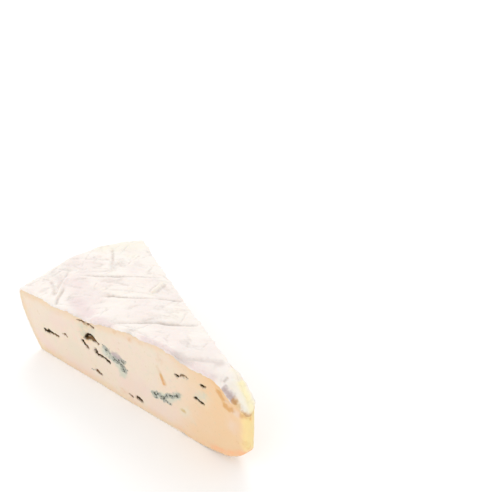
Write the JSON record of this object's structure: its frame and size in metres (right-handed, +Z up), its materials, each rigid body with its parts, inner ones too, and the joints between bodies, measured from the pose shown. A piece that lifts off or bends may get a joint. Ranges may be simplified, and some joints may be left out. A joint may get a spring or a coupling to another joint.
{
  "type": "blue cheese wedge",
  "caption": "Wedge of soft-ripened blue cheese with a creased white bloomy rind, two cut faces with blue mould hollows and a blunt tip.",
  "frame": {"origin": "middle of the wedge's outline seen from above, on the surface it rests on", "axes": "+X from the rim towards the tip, +Y from the fore cut towards the rear cut, +Z up through the top rind"},
  "size_m": [0.1264, 0.062, 0.0403],
  "materials": {
    "paste": "soft cream paste, a little moist and translucent, with blue-grey mould in its hollows",
    "rind": "matt off-white mould bloom, felty, with pinkish patches and grey creases"
  },
  "bodies": {
    "root": {"cheese_wedge": "paste"}
  },
  "joints": []
}
